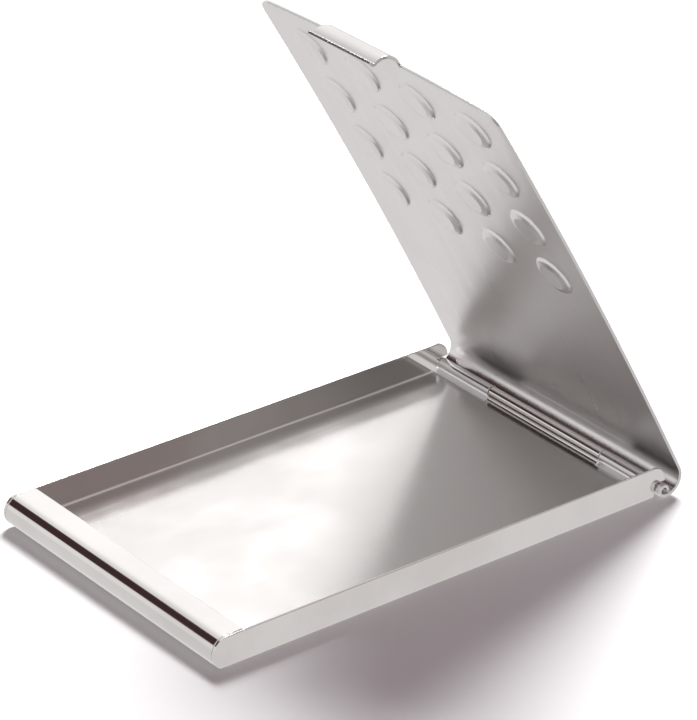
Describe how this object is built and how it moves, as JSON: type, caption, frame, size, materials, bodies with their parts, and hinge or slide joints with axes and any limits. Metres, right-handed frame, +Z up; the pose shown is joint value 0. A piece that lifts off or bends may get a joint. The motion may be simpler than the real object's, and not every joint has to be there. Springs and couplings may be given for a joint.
{
  "type": "business card case",
  "caption": "Slim polished sheet-metal business card case with a tray, a hinged flip-up lid with embossed dimples, and a catch that folds over the rolled front.",
  "frame": {"origin": "centre of the flat underside of the tray, midway along the length of its side walls", "axes": "+X along the hinge, +Y from the front lip towards the hinge, +Z up from the underside"},
  "size_m": [0.0608, 0.0967, 0.0844],
  "materials": {
    "polished_steel": "mirror-polished stainless steel sheet",
    "satin_steel": "fine-brushed satin stainless steel sheet with a polished outer face",
    "pin_steel": "drawn steel wire"
  },
  "bodies": {
    "tray_body": {"tray": "polished_steel", "hinge_pin": "pin_steel"},
    "lid_body": {"lid": "satin_steel"}
  },
  "joints": [
    {"name": "lid_hinge", "type": "hinge", "parent": "tray_body", "child": "lid_body", "pos_m": [0, 0.0454, 0.00165], "axis": [-1, 0, 0], "range_deg": [-61, 39]}
  ]
}
